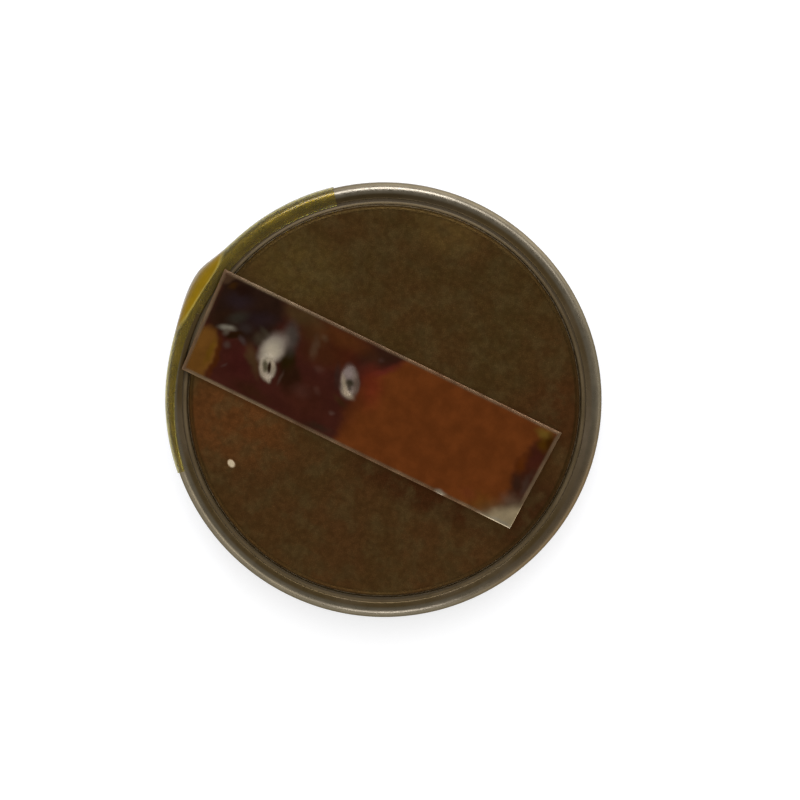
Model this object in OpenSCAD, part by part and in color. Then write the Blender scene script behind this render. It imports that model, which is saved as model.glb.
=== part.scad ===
// Lithium coin cell with a nickel strip spot-welded across its negative cap,
// and a piece of insulating tape folded over the rim under the welded end.
// The origin is the centre of the positive face, on which the cell lies.
// +Z points up through the cap, and +X runs along the strip to its free end.

/* [Cell] */
// Diameter over the side of the can
cell_d = 20; // [16:0.1:24.5]
// Height from the positive face to the face of the cap
cell_h = 3.2; // [2.5:0.05:5.4]

/* [Can] */
// Thickness of the steel of the can
can_t = 0.25; // [0.2:0.01:0.3]
// Outside radius of the bottom corner of the can
can_corner_r = 0.6; // [0.4:0.05:0.8]
// Outside radius of the roll that closes the can over the gasket
rim_roll_r = 0.45; // [0.4:0.01:0.6]
// Straight land between the roll and the nose of the lip
rim_land = 0.14; // [0.03:0.01:0.3]
// Angle in degrees at which the land runs down to the lip
rim_droop = 10; // [0:1:20]
// Height of the face of the cap above the crest of the rim
rim_drop = 0.15; // [0.05:0.01:0.3]

/* [Gasket] */
// Wall of the gasket between the can and the skirt of the cap
gasket_wall_t = 0.3; // [0.2:0.01:0.35]
// Wall of the gasket inside the skirt of the cap
gasket_inner_t = 0.25; // [0.15:0.01:0.4]
// Height of that inner wall above the foot
gasket_inner_h = 0.5; // [0.2:0.05:0.8]
// Thickness of the foot between the floor of the can and the skirt
gasket_foot_t = 0.3; // [0.2:0.01:0.5]
// Thickness of the gasket between the lip of the can and the step of the cap
gasket_over_t = 0.2; // [0.1:0.01:0.35]
// Width of the part of the gasket that shows round the cap
gasket_lip_t = 0.2; // [0.15:0.01:0.35]
// Depth of the top of the gasket below the crest of the rim
gasket_lip_drop = 0.03; // [0:0.01:0.1]

/* [Cap] */
// Thickness of the steel of the cap
cap_t = 0.2; // [0.15:0.01:0.25]
// Outside radius of the edge of the face of the cap
cap_edge_r = 0.3; // [0.25:0.01:0.35]
// Radius of the inward corner at the foot of the neck
cap_step_r = 0.1; // [0.05:0.01:0.15]
// Outside radius of the shoulder between the step and the skirt
cap_shoulder_r = 0.24; // [0.2:0.01:0.3]

/* [Cell stack] */
// Thickness of the lithium disc
lithium_t = 0.65; // [0.4:0.05:0.9]
// How far the lithium disc stops short of the edge of the cathode
lithium_inset = 0.3; // [0.1:0.05:1]
// Thickness of the separator
separator_t = 0.15; // [0.05:0.01:0.3]
// How far the separator reaches past the ring of the cathode
separator_margin = 0.2; // [0.05:0.05:0.4]
// Room between the ring of the cathode and the gasket
stack_gap = 0.5; // [0.45:0.05:1.5]
// Thickness of the steel ring round the cathode
ring_t = 0.15; // [0.1:0.01:0.25]
// Width of the foot of that ring under the cathode
ring_foot_w = 0.6; // [0.3:0.05:1.5]
// Depth of the top of that ring below the top of the cathode
ring_drop = 0.1; // [0.05:0.01:0.3]

/* [Strip] */
// Width of the strip
strip_w = 5; // [3:0.1:8]
// Length of the strip along its centreline
strip_l = 16.95; // [13:0.05:40]
// Thickness of the strip
strip_t = 0.15; // [0.1:0.01:0.3]
// Distance of the welded end from the side of the can
strip_inset = 0.9; // [0.8:0.05:3]
// Distance of the centreline of the strip from the centre of the cell
strip_offset = 0.24; // [0:0.02:2]
// Angle in degrees by which both ends are snipped out of square
strip_snip = 2.5; // [0:0.5:10]
// Length of the free end that is lifted off the cap
lift_l = 2.6; // [1:0.1:8]
// Angle in degrees to which the free end is lifted
lift_angle = 6; // [1:0.5:30]
// Radius on which the free end is bent up
lift_bend_r = 6; // [1:0.5:10]
// Width of each weld dimple
weld_d = 0.8; // [0.4:0.05:1.5]
// Depth of each weld dimple
weld_depth = 0.05; // [0.02:0.01:0.07]

/* [Tape] */
// Thickness of the tape
tape_t = 0.06; // [0.03:0.01:0.12]
// Angle in degrees that the tape covers round the rim
tape_span_angle = 96; // [50:1:140]
// Angle in degrees of the middle of the tape, from the free end of the strip
tape_middle_angle = 177.4; // [150:0.2:210]
// How far in degrees its first end runs over the crest and round the lip
tape_over_angle = 50; // [0:1:50]
// How far in degrees its last end stops short of the crest
tape_short_angle = 25; // [0:1:50]
// Height of the lower edge of the tape above the positive face
tape_low = 0.8; // [0.8:0.05:1.4]
// How far the loose fold of the tape stands off the can
fold_h = 0.33; // [0:0.01:0.6]
// Angle in degrees of that fold, from the free end of the strip
fold_angle = 172; // [160:1:190]

/* [Hidden] */

// Clearance between round faces that seat on each other
seat = 0.01;
// Straight pieces along each rounded corner of a section
corner_steps = 8;
$fn = 96;

// The can: its radius, the height of its crest and the centre of its roll
cell_r = cell_d / 2;
crest_z = cell_h - rim_drop;
roll_c = [cell_r - rim_roll_r, crest_z - rim_roll_r];
// Directions out of the land and along it towards the lip
land_out = [cos(90 + rim_droop), sin(90 + rim_droop)];
land_along = [-cos(rim_droop), -sin(rim_droop)];
// Centre of the round nose of the lip, and the radius that it reaches in to
nose_c = roll_c + (rim_roll_r - can_t / 2) * land_out + rim_land * land_along;
lip_r = nose_c[0] - can_t / 2;
can_corner_c = [cell_r - can_corner_r, can_corner_r];

// The cap: its neck inside the gasket, its step under it and its skirt
neck_r = lip_r - gasket_lip_t - 2 * seat;
skirt_r = cell_r - can_t - gasket_wall_t - 2 * seat;
skirt_inner_r = skirt_r - cap_t;
step_z = nose_c[1] - can_t / 2 - gasket_over_t - 2 * seat;
foot_z = can_t + gasket_foot_t;
// The shoulder takes no more than the step leaves beside its inward corner
shoulder_r = min(cap_shoulder_r, skirt_r - neck_r - cap_step_r);
step_c = [neck_r + cap_step_r, step_z + cap_step_r];
shoulder_c = [skirt_r - shoulder_r, step_z - shoulder_r];
edge_c = [neck_r - cap_edge_r, cell_h - cap_edge_r];
// The inner corner is sharp where the steel is thicker than the shoulder
inner_shoulder_r = max(shoulder_r, cap_t);
inner_shoulder_c = [skirt_r - inner_shoulder_r, step_z - inner_shoulder_r];

// The stack between the floor of the can and the face of the cap
gasket_inner_r = skirt_inner_r - seat - gasket_inner_t;
ring_r = gasket_inner_r - stack_gap;
cathode_r = ring_r - ring_t;
lithium_r = cathode_r - lithium_inset;
separator_r = ring_r + separator_margin;
cathode_top_z = cell_h - cap_t - lithium_t - separator_t;
separator_top_z = cathode_top_z + separator_t;

// The strip: its ends, and the centres of its welds along and across it
strip_start_x = strip_inset - cell_r;
strip_end_x = strip_start_x + strip_l;
lift_start_x = strip_end_x - lift_l;
snip_x = strip_w / 2 * tan(strip_snip);
WELDS = [[1.6, -0.1], [3.6, -0.3], [7.3, 0.25]];

// The tape: steps round the rim, over it and down the side
tape_steps = 32;
tape_side_steps = 6;
tape_rim_steps = 12;
// How its fold runs out to both sides, and where on the crest it leaves the rim
fold_rise_angle = 6.5;
fold_fall_angle = 11.5;
fold_crest_angle = 80;
// Share of the fold's way down that lies over the roll of the rim
fold_over_share = 0.25;

// Points along an arc of radius r about c, from angle a0 to angle a1
function arc(c, r, a0, a1, steps = corner_steps) =
    [for (i = [0:steps]) let(a = a0 + (a1 - a0) * i / steps) c + r * [cos(a), sin(a)]];

// Drawn cup whose side is rolled in over the gasket
module positive_can() {
    rim_end = 90 + rim_droop;
    color("silver") rotate_extrude()
        polygon(concat(
            [[0, 0]],
            arc(can_corner_c, can_corner_r, -90, 0),
            arc(roll_c, rim_roll_r, 0, rim_end, 2 * corner_steps),
            arc(nose_c, can_t / 2, rim_end, rim_end + 180),
            arc(roll_c, rim_roll_r - can_t, rim_end, 0),
            arc(can_corner_c, can_corner_r - can_t, 0, -90),
            [[0, can_t]]));
}

// Moulded ring: a channel under the skirt of the cap, a wall up its side and
// a lip over its step that comes up between the cap and the can
module gasket() {
    rim_end = 90 + rim_droop;
    lip_z = crest_z - gasket_lip_drop;
    color("wheat") rotate_extrude()
        polygon(concat(
            [[gasket_inner_r, can_t], [can_corner_c[0], can_t]],
            arc(can_corner_c, can_corner_r - can_t - seat, -90, 0),
            arc(roll_c, rim_roll_r - can_t - seat, 0, rim_end),
            arc(nose_c, can_t / 2 + seat, rim_end + 180, 180),
            [[lip_r - seat, lip_z], [neck_r + seat, lip_z]],
            arc(step_c, cap_step_r - seat, 180, 270),
            arc(shoulder_c, shoulder_r + seat, 90, 0),
            [[skirt_r + seat, foot_z], [skirt_inner_r - seat, foot_z],
             [skirt_inner_r - seat, foot_z + gasket_inner_h],
             [gasket_inner_r, foot_z + gasket_inner_h]]));
}

// Pressed lid: flat face, neck, step under the lip of the can, and skirt
module negative_cap() {
    color("darkkhaki") rotate_extrude()
        polygon(concat(
            [[0, cell_h]],
            arc(edge_c, cap_edge_r, 90, 0),
            arc(step_c, cap_step_r, 180, 270),
            arc(shoulder_c, shoulder_r, 90, 0),
            [[skirt_r, foot_z], [skirt_inner_r, foot_z]],
            arc(inner_shoulder_c, inner_shoulder_r - cap_t, 0, 90),
            arc(step_c, cap_step_r + cap_t, 270, 180),
            arc(edge_c, cap_edge_r - cap_t, 0, 90),
            [[0, cell_h - cap_t]]));
}

// Anode, pressed against the inside of the cap
module lithium_disc() {
    color("lightgray") translate([0, 0, separator_top_z])
        cylinder(r = lithium_r, h = lithium_t);
}

// Fleece disc between the anode and the cathode
module separator() {
    color("white") translate([0, 0, cathode_top_z])
        cylinder(r = separator_r, h = separator_t);
}

// Cathode pellet, stepped at its lower edge to sit in its ring
module cathode_pellet() {
    color("dimgray") rotate_extrude()
        polygon([[0, can_t], [cathode_r - ring_foot_w - seat, can_t],
                 [cathode_r - ring_foot_w - seat, can_t + ring_t],
                 [cathode_r - seat, can_t + ring_t],
                 [cathode_r - seat, cathode_top_z], [0, cathode_top_z]]);
}

// Steel ring of L section that carries the current from the pellet to the can
module cathode_ring() {
    color("gray") rotate_extrude()
        polygon([[cathode_r - ring_foot_w, can_t], [ring_r, can_t],
                 [ring_r, cathode_top_z - ring_drop],
                 [cathode_r, cathode_top_z - ring_drop],
                 [cathode_r, can_t + ring_t],
                 [cathode_r - ring_foot_w, can_t + ring_t]]);
}

// Side view of the strip: flat on the cap, then bent up to its free end
module strip_side() {
    bend_c = [lift_start_x, cell_h + lift_bend_r];
    past = 2 * lift_l * [cos(lift_angle), sin(lift_angle)];
    under = arc(bend_c, lift_bend_r, -90, lift_angle - 90);
    top = arc(bend_c, lift_bend_r - strip_t, lift_angle - 90, -90);
    polygon(concat(
        [[strip_start_x - strip_w, cell_h]], under,
        [under[corner_steps] + past, top[0] + past], top,
        [[strip_start_x - strip_w, cell_h + strip_t]]));
}

// Round hollow that a welding electrode leaves in the top of the strip
module weld_dimple() {
    ball_r = (pow(weld_d / 2, 2) + pow(weld_depth, 2)) / (2 * weld_depth);
    translate([0, 0, ball_r - weld_depth]) sphere(r = ball_r);
}

// Connection strip, trimmed to its snipped ends
module connection_strip() {
    color("peru") translate([0, -strip_offset, 0]) difference() {
        intersection() {
            rotate([90, 0, 0])
                linear_extrude(height = 2 * strip_w, center = true) strip_side();
            linear_extrude(height = cell_h + strip_l)
                polygon([[strip_start_x - snip_x, strip_w / 2],
                         [strip_start_x + snip_x, -strip_w / 2],
                         [strip_end_x - snip_x, -strip_w / 2],
                         [strip_end_x + snip_x, strip_w / 2]]);
        }
        for (weld = WELDS)
            translate([strip_start_x + weld[0], weld[1], cell_h + strip_t])
                weld_dimple();
    }
}

// Angle at which the tape starts on the rim, because it lies a little askew
function tape_start(a) =
    let(share = (a - tape_middle_angle) / tape_span_angle + 0.5)
    90 + tape_over_angle * (1 - share) - tape_short_angle * share;

// Point of the rim whose surface faces the angle f, at distance off from it
function rim_point(f, off) =
    (f > 90 + rim_droop ? nose_c + (can_t / 2 + off) * [cos(f), sin(f)]
                        : roll_c + (rim_roll_r + off) * [cos(f), sin(f)]);

// How far the tape stands off where a share of the fold's way down lies behind it
function stand(fold, run) = fold * sin(180 * run);

// Point of the tape over the roll, where its surface faces the angle f
function over_point(f, off, fold) =
    rim_point(f, off + stand(fold, max(0, 1 - f / fold_crest_angle) * fold_over_share));

// Path of the tape at distance off from the can: over the crest, down the side
function tape_path(a, off, fold) = concat(
    [for (i = [0:tape_rim_steps])
        over_point(tape_start(a) * (1 - i / tape_rim_steps), off, fold)],
    [for (i = [1:tape_side_steps])
        let(down = i / tape_side_steps,
            run = fold_over_share + (1 - fold_over_share) * down)
        [cell_r + off + stand(fold, run),
         roll_c[1] + (tape_low - roll_c[1]) * down]]);

// How far the tape stands off the can at angle a round the rim
function tape_fold(a) =
    let(spread = a < fold_angle ? fold_rise_angle : fold_fall_angle)
    fold_h * exp(-pow((a - fold_angle) / spread, 2));

// The two faces of the tape at angle a, as one closed loop
function tape_section(a) =
    let(fold = tape_fold(a),
        inner = tape_path(a, seat, fold),
        outer = tape_path(a, seat + tape_t, fold))
    [for (p = concat(outer, [for (i = [len(inner) - 1:-1:0]) inner[i]]))
        [p[0] * cos(a), p[0] * sin(a), p[1]]];

// Film of tape swept round the rim
module insulating_tape() {
    n = len(tape_section(0));
    points = [for (i = [0:tape_steps])
        each tape_section(tape_middle_angle + tape_span_angle * (i / tape_steps - 0.5))];
    walls = [for (i = [0:tape_steps - 1], j = [0:n - 1])
        let(k = (j + 1) % n)
        [i * n + j, (i + 1) * n + j, (i + 1) * n + k, i * n + k]];
    first_end = [for (j = [0:n - 1]) j];
    last_end = [for (j = [n - 1:-1:0]) tape_steps * n + j];
    color("goldenrod", 0.8) polyhedron(points, concat([first_end], walls, [last_end]));
}

positive_can();
gasket();
negative_cap();
lithium_disc();
separator();
cathode_pellet();
cathode_ring();
connection_strip();
insulating_tape();
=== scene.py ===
"""Looks of a lithium coin cell with a connection strip welded across its cap.

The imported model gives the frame. Its origin is the centre of the positive face, +Z points up
through the cap and +X runs along the strip. Sizes in this script are millimetres and degrees,
and each mesh is turned into metres as it is made.
"""
import logging
import math
from dataclasses import dataclass, field
from enum import Enum

import bpy
import numpy as np
from mathutils import Matrix, Vector

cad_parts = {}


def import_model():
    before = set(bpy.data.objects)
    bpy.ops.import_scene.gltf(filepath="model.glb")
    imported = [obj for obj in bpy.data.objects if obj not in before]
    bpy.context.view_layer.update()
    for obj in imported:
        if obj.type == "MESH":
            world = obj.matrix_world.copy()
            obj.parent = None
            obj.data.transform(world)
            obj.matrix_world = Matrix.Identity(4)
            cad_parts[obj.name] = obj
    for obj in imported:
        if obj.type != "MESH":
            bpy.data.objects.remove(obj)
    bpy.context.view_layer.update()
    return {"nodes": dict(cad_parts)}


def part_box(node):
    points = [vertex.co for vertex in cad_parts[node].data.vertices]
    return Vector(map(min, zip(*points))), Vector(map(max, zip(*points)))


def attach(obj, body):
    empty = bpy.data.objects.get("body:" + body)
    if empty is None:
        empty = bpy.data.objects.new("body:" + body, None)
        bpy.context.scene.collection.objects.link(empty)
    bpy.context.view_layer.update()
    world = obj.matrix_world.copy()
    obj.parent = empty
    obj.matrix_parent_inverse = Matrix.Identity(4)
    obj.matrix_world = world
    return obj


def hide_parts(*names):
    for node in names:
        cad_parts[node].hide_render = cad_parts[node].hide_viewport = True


LOG = logging.getLogger("coin_cell")
MM = 0.001
BODY = "root"
# Name of the colours that a piece keeps for its points
TINT = "tint"
# The strip runs down to the right across the picture at this angle
STRIP_TURN = 25.93
# Place on the rim that is uppermost in the picture
RIM_TOP = (-4.1, 8.4)

# A colour is linear throughout
Colour = tuple[float, float, float]
# Where a change starts and where it ends
Span = tuple[float, float]
# Middle, half sizes and, where it is turned, the angle of an oval on the cell
Spot = tuple[float, ...]
Socket = bpy.types.NodeSocket


def shade(colour: Colour, share: float) -> Colour:
    """A colour with each of its parts times the share."""
    return tuple(share * part for part in colour)


def smooth_step(low: float, high: float, value: np.ndarray) -> np.ndarray:
    """Zero below low, one above high, and the cubic 3t^2 - 2t^3 between them."""
    t = np.clip((value - low) / (high - low), 0, 1)
    return t * t * (3 - 2 * t)


def arc(centre: tuple[float, float], radius: float, start: float, end: float,
        steps: int = 14) -> np.ndarray:
    """Points centre + radius (cos a, sin a), for a from start to end.

    Args:
        centre: Centre of the arc as (r, z).
        radius: Radius of the arc.
        start: First angle in degrees.
        end: Last angle in degrees.
        steps: Number of straight pieces.

    Returns:
        An array of steps + 1 points.
    """
    angle = np.radians(np.linspace(start, end, steps + 1))
    return np.array(centre) + radius * np.stack([np.cos(angle), np.sin(angle)], axis=1)


def put_object(name: str, data: bpy.types.ID) -> bpy.types.Object:
    """Makes an object and adds it to the scene.

    Args:
        name: Name of the object.
        data: Mesh, lamp or camera that it shows.

    Returns:
        The new object.
    """
    made = bpy.data.objects.new(name, data)
    bpy.context.scene.collection.objects.link(made)
    return made


def put_mesh(name: str, points: np.ndarray, faces: list[list[int]],
             sharp_angle: float = 40) -> bpy.types.Object:
    """Makes an object at the origin from points in millimetres.

    Args:
        name: Name of the piece.
        points: Array of points, one row each.
        faces: Corner numbers of each face, seen from outside in counter-clockwise order.
        sharp_angle: Edges that turn by more than this many degrees stay sharp.

    Returns:
        The new object, smooth shaded.
    """
    mesh = bpy.data.meshes.new(name)
    mesh.from_pydata((points * MM).tolist(), [], faces)
    mesh.validate()
    mesh.shade_smooth()
    mesh.set_sharp_from_angle(angle=math.radians(sharp_angle))
    return put_object(name, mesh)


def revolve(outline: np.ndarray, segments: int) -> tuple[np.ndarray, list[list[int]]]:
    """Surface of revolution: (r, z) of the outline goes to (r cos a, r sin a, z).

    The outline is a closed loop. Where it starts and ends on the axis, each of those ends
    becomes one pole, and otherwise the last ring is joined to the first.

    Args:
        outline: Points (r, z) round the section.
        segments: Number of steps of the angle a round the axis.

    Returns:
        The points, and the faces with their outside showing.
    """
    r, z = outline.T
    area = np.sum(r * np.roll(z, -1) - np.roll(r, -1) * z)
    if area < 0:
        outline = outline[::-1]
    has_poles = outline[0, 0] == 0
    rings = outline[1:-1] if has_poles else outline
    angle = np.arange(segments) * 2 * math.pi / segments
    r, z = rings[:, :1], rings[:, 1:]
    points = np.stack([r * np.cos(angle), r * np.sin(angle), z + 0 * angle], axis=-1)
    row = np.arange(points.shape[0] * segments).reshape(-1, segments)
    loop = row if has_poles else np.vstack([row, row[:1]])
    after = np.roll(loop, -1, axis=1)
    quads = np.stack([loop[:-1], after[:-1], after[1:], loop[1:]], axis=-1).reshape(-1, 4)
    faces = quads.tolist()
    points = points.reshape(-1, 3)
    if has_poles:
        pole = np.full(segments, len(points))
        points = np.vstack([points, [[0, 0, outline[0, 1]], [0, 0, outline[-1, 1]]]])
        faces += np.stack([pole, np.roll(row[0], -1), row[0]], axis=-1).tolist()
        faces += np.stack([pole + 1, row[-1], np.roll(row[-1], -1)], axis=-1).tolist()
    return points, faces


def slab(top: np.ndarray, bottom: np.ndarray) -> tuple[np.ndarray, list[list[int]]]:
    """Closed skin round the space between two sheets of one grid of two parameters.

    Args:
        top: Points of the upper sheet, as rows by columns by 3, counter-clockwise from above.
        bottom: Points of the lower sheet on the same grid.

    Returns:
        The points, and quads with their outside showing.
    """
    rows, columns = top.shape[:2]
    upper = np.arange(rows * columns).reshape(rows, columns)
    lower = upper + rows * columns

    def cells(grid: np.ndarray) -> np.ndarray:
        """Quads of one sheet, counter-clockwise in the grid's own order."""
        return np.stack([grid[:-1, :-1], grid[1:, :-1], grid[1:, 1:], grid[:-1, 1:]],
                        axis=-1).reshape(-1, 4)

    def border(grid: np.ndarray) -> np.ndarray:
        """Numbers round the edge of one sheet, in the order of its cells."""
        return np.concatenate([grid[:, 0], grid[-1, 1:], grid[-2::-1, -1], grid[0, -2:0:-1]])

    high, low = border(upper), border(lower)
    walls = np.stack([high, low, np.roll(low, -1), np.roll(high, -1)], axis=-1)
    faces = np.vstack([cells(upper), cells(lower)[:, ::-1], walls])
    return np.concatenate([top.reshape(-1, 3), bottom.reshape(-1, 3)]), faces.tolist()


def turned(x: np.ndarray, y: np.ndarray, middle: tuple[float, float],
           angle: float) -> tuple[np.ndarray, np.ndarray]:
    """Places as seen from a middle whose own length lies at an angle.

    With dx and dy the distances from the middle, u = dx cos a + dy sin a and
    v = dy cos a - dx sin a.

    Args:
        x: Places along the strip.
        y: Places across the strip.
        middle: The point that becomes (0, 0).
        angle: The angle a in degrees.

    Returns:
        The places u along that length and v across it.
    """
    turn = math.radians(angle)
    dx, dy = x - middle[0], y - middle[1]
    return (dx * math.cos(turn) + dy * math.sin(turn),
            dy * math.cos(turn) - dx * math.sin(turn))


def store_tint(piece: bpy.types.Object, tints: np.ndarray) -> None:
    """Keeps a linear colour and one more share for each point of both sheets of a slab."""
    layer = piece.data.color_attributes.new(TINT, "FLOAT_COLOR", "POINT")
    layer.data.foreach_set("color", np.concatenate([tints, tints]).ravel())


class Mix(Enum):
    """How two colours are put together."""

    BLEND = "MIX"
    TIMES = "MULTIPLY"


class Sum(Enum):
    """One step of arithmetic on values."""

    PLUS = "ADD"
    MINUS = "SUBTRACT"
    TIMES = "MULTIPLY"
    OVER = "DIVIDE"
    LARGER = "MAXIMUM"


class NodeBench:
    """Short calls for laying out the nodes of one material."""

    def __init__(self, name: str) -> None:
        """Starts a material with nothing in it but its output.

        Args:
            name: Name of the material.
        """
        self.material = bpy.data.materials.new(name)
        self.material.use_nodes = True
        self.tree = self.material.node_tree
        self.tree.nodes.clear()
        self.output = self.tree.nodes.new("ShaderNodeOutputMaterial")
        self.place = self.tree.nodes.new("ShaderNodeTexCoord").outputs["Object"]

    def node(self, kind: str, **settings: object) -> bpy.types.Node:
        """Adds a node.

        Args:
            kind: Blender's name for the kind of node.
            settings: Plain properties of the node by name.

        Returns:
            The new node.
        """
        made = self.tree.nodes.new(kind)
        for key, value in settings.items():
            setattr(made, key, value)
        return made

    def link(self, source: Socket, target: Socket) -> None:
        """Joins an output to an input."""
        self.tree.links.new(source, target)

    def feed(self, target: Socket, value: object) -> None:
        """Joins an input to an output, or sets it.

        Args:
            target: The input.
            value: An output, a number, a vector or a linear colour.
        """
        if isinstance(value, Socket):
            self.link(value, target)
        elif target.type == "RGBA" and len(value) == 3:
            target.default_value = (*value, 1)
        else:
            target.default_value = value

    def set(self, node: bpy.types.Node, **values: object) -> None:
        """Feeds inputs by name, with an underscore for each space."""
        for key, value in values.items():
            self.feed(node.inputs[key.replace("_", " ")], value)

    def noise(self, size_mm: float, detail: float = 3, stretch: Vector | None = None,
              shift: float = 0) -> Socket:
        """Smooth noise whose lumps are about size_mm across.

        Args:
            size_mm: Width of a lump in millimetres.
            detail: Number of finer layers.
            stretch: How much longer a lump is along X, Y and Z.
            shift: Moves the pattern, so that two of one size differ.

        Returns:
            The value from 0 to 1.
        """
        mapping = self.node("ShaderNodeMapping")
        longer = stretch or Vector((1, 1, 1))
        self.set(mapping, Vector=self.place, Location=(shift, shift, shift),
                 Scale=[1 / (size_mm * MM * part) for part in longer])
        texture = self.node("ShaderNodeTexNoise")
        self.set(texture, Vector=mapping.outputs["Vector"], Scale=1.0, Detail=detail)
        return texture.outputs["Fac"]

    def ramp(self, value: Socket, low: float, high: float, out_low: float = 0,
             out_high: float = 1) -> Socket:
        """Carries one range smoothly to another, and holds its ends beyond it.

        Args:
            value: The value that changes.
            low: Value that gives out_low.
            high: Value that gives out_high, which may be the smaller one.
            out_low: Result at low.
            out_high: Result at high.

        Returns:
            The result.
        """
        made = self.node("ShaderNodeMapRange", interpolation_type="SMOOTHSTEP")
        self.set(made, Value=value, From_Min=low, From_Max=high, To_Min=out_low,
                 To_Max=out_high)
        return made.outputs["Result"]

    def mix(self, share: Socket | float, first: object, second: object,
            way: Mix = Mix.BLEND) -> Socket:
        """Mixes two colours.

        Args:
            share: Share of the second colour.
            first: A socket or a linear colour.
            second: A socket or a linear colour.
            way: How they are put together.

        Returns:
            The mixed colour.
        """
        made = self.node("ShaderNodeMix", data_type="RGBA", blend_type=way.value)
        # The colour inputs come after those for numbers and vectors
        self.feed(made.inputs[0], share)
        self.feed(made.inputs[6], first)
        self.feed(made.inputs[7], second)
        return made.outputs[2]

    def maths(self, task: Sum, *values: object) -> Socket:
        """Takes one step of arithmetic.

        Args:
            task: The step.
            values: The sockets and numbers that it works on, in order.

        Returns:
            The result.
        """
        made = self.node("ShaderNodeMath", operation=task.value)
        for target, value in zip(made.inputs, values):
            self.feed(target, value)
        return made.outputs[0]

    def radius_mm(self, centre: tuple[float, float] = (0, 0)) -> Socket:
        """Distance from an upright line, the axis of the cell unless another is given.

        Args:
            centre: Where the line stands, in millimetres.

        Returns:
            The distance in millimetres.
        """
        flat = self.node("ShaderNodeVectorMath", operation="MULTIPLY_ADD")
        self.feed(flat.inputs[0], self.place)
        self.feed(flat.inputs[1], (1 / MM, 1 / MM, 0))
        self.feed(flat.inputs[2], (-centre[0], -centre[1], 0))
        length = self.node("ShaderNodeVectorMath", operation="LENGTH")
        self.link(flat.outputs[0], length.inputs[0])
        return length.outputs["Value"]

    def height_mm(self) -> Socket:
        """Height above the base of the cell.

        Returns:
            The height in millimetres.
        """
        split = self.node("ShaderNodeSeparateXYZ")
        self.link(self.place, split.inputs[0])
        return self.maths(Sum.OVER, split.outputs["Z"], MM)

    def spot(self, x: float, y: float, long: float, wide: float, turn: float = 0) -> Socket:
        """One at the middle of an oval on the cap, falling to zero at its edge.

        Args:
            x: Place of its middle along the strip.
            y: Place of its middle across the strip.
            long: Half of its length.
            wide: Half of its width.
            turn: Angle of its length in degrees.

        Returns:
            The value from 0 to 1.
        """
        # The height counts in metres here, so little that the spot is upright
        mapping = self.node("ShaderNodeMapping", vector_type="TEXTURE")
        self.set(mapping, Vector=self.place, Location=(x * MM, y * MM, 0),
                 Rotation=(0, 0, math.radians(turn)), Scale=(long * MM, wide * MM, 1))
        ball = self.node("ShaderNodeTexGradient", gradient_type="SPHERICAL")
        self.link(mapping.outputs["Vector"], ball.inputs["Vector"])
        return ball.outputs["Fac"]

    def stored_tint(self, cloud: Socket) -> tuple[Socket, ...]:
        """Takes the colour that the piece keeps for its points.

        Args:
            cloud: Number that the colour is multiplied by.

        Returns:
            The toned colour, and the share that is kept beside it.
        """
        stored = self.node("ShaderNodeVertexColor", layer_name=TINT)
        grey = self.node("ShaderNodeCombineColor")
        self.set(grey, Red=cloud, Green=cloud, Blue=cloud)
        colour = self.mix(1.0, stored.outputs["Color"], grey.outputs[0], Mix.TIMES)
        return colour, stored.outputs["Alpha"]

    def bump(self, height: Socket, depth_mm: float, strength: float = 1) -> Socket:
        """Makes a surface look uneven.

        Args:
            height: Height from 0 to 1.
            depth_mm: What a height of 1 stands for.
            strength: Share of the effect.

        Returns:
            The normal of the uneven surface.
        """
        made = self.node("ShaderNodeBump")
        self.set(made, Height=height, Distance=depth_mm * MM, Strength=strength)
        return made.outputs["Normal"]

    def surface(self, **values: object) -> bpy.types.Material:
        """Ends the material with one shader.

        Args:
            values: Inputs of the shader by name, with an underscore for each space.

        Returns:
            The material.
        """
        shader = self.node("ShaderNodeBsdfPrincipled")
        self.set(shader, **values)
        self.link(shader.outputs[0], self.output.inputs["Surface"])
        return self.material

    def blend_shaders(self, share: Socket, first: bpy.types.Node,
                      second: bpy.types.Node) -> bpy.types.Material:
        """Ends the material with a mix of two shaders.

        Args:
            share: Share of the second one.
            first: The first shader.
            second: The second shader.

        Returns:
            The material.
        """
        both = self.node("ShaderNodeMixShader")
        for target, source in zip(both.inputs, (share, first.outputs[0], second.outputs[0])):
            self.link(source, target)
        self.link(both.outputs[0], self.output.inputs["Surface"])
        return self.material


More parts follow.
